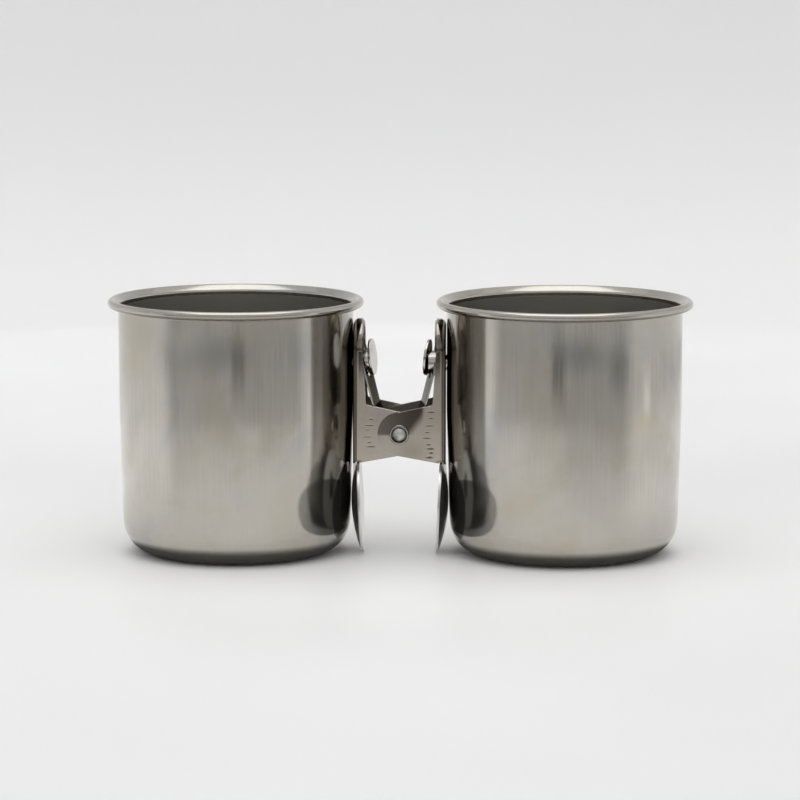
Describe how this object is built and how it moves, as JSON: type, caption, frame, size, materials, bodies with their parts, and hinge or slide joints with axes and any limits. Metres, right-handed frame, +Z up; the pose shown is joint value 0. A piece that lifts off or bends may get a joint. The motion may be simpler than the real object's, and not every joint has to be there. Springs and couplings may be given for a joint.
{
  "type": "palette cup clip",
  "caption": "Spring clip for a palette's edge, with a steel paint cup riveted to each of its handles.",
  "frame": {"origin": "on the plane the cups stand on, midway between the cups, under the pivot", "axes": "+Z up, +X towards the right cup, the pivot along Y with its rolled end at -Y"},
  "size_m": [0.114, 0.0506, 0.05],
  "materials": {
    "cup_steel": "satin stainless sheet with faint upright streaks",
    "clip_steel": "pressed stainless sheet, semi-gloss",
    "rivet_steel": "semi-gloss steel",
    "spring_steel": "polished spring strip"
  },
  "bodies": {
    "left_side": {"left_cup": "cup_steel", "left_clip_half": "clip_steel", "left_cup_rivet": "rivet_steel", "pivot_rivet": "rivet_steel", "spring": "spring_steel"},
    "right_side": {"right_cup": "cup_steel", "right_clip_half": "clip_steel", "right_cup_rivet": "rivet_steel"}
  },
  "joints": [
    {"name": "clip_pivot", "type": "hinge", "parent": "left_side", "child": "right_side", "pos_m": [0, 0, 0.0241], "axis": [0, 1, 0], "range_deg": [-28, 31], "stiffness_Nm_per_rad": 0.3, "deforming": ["spring"]}
  ]
}
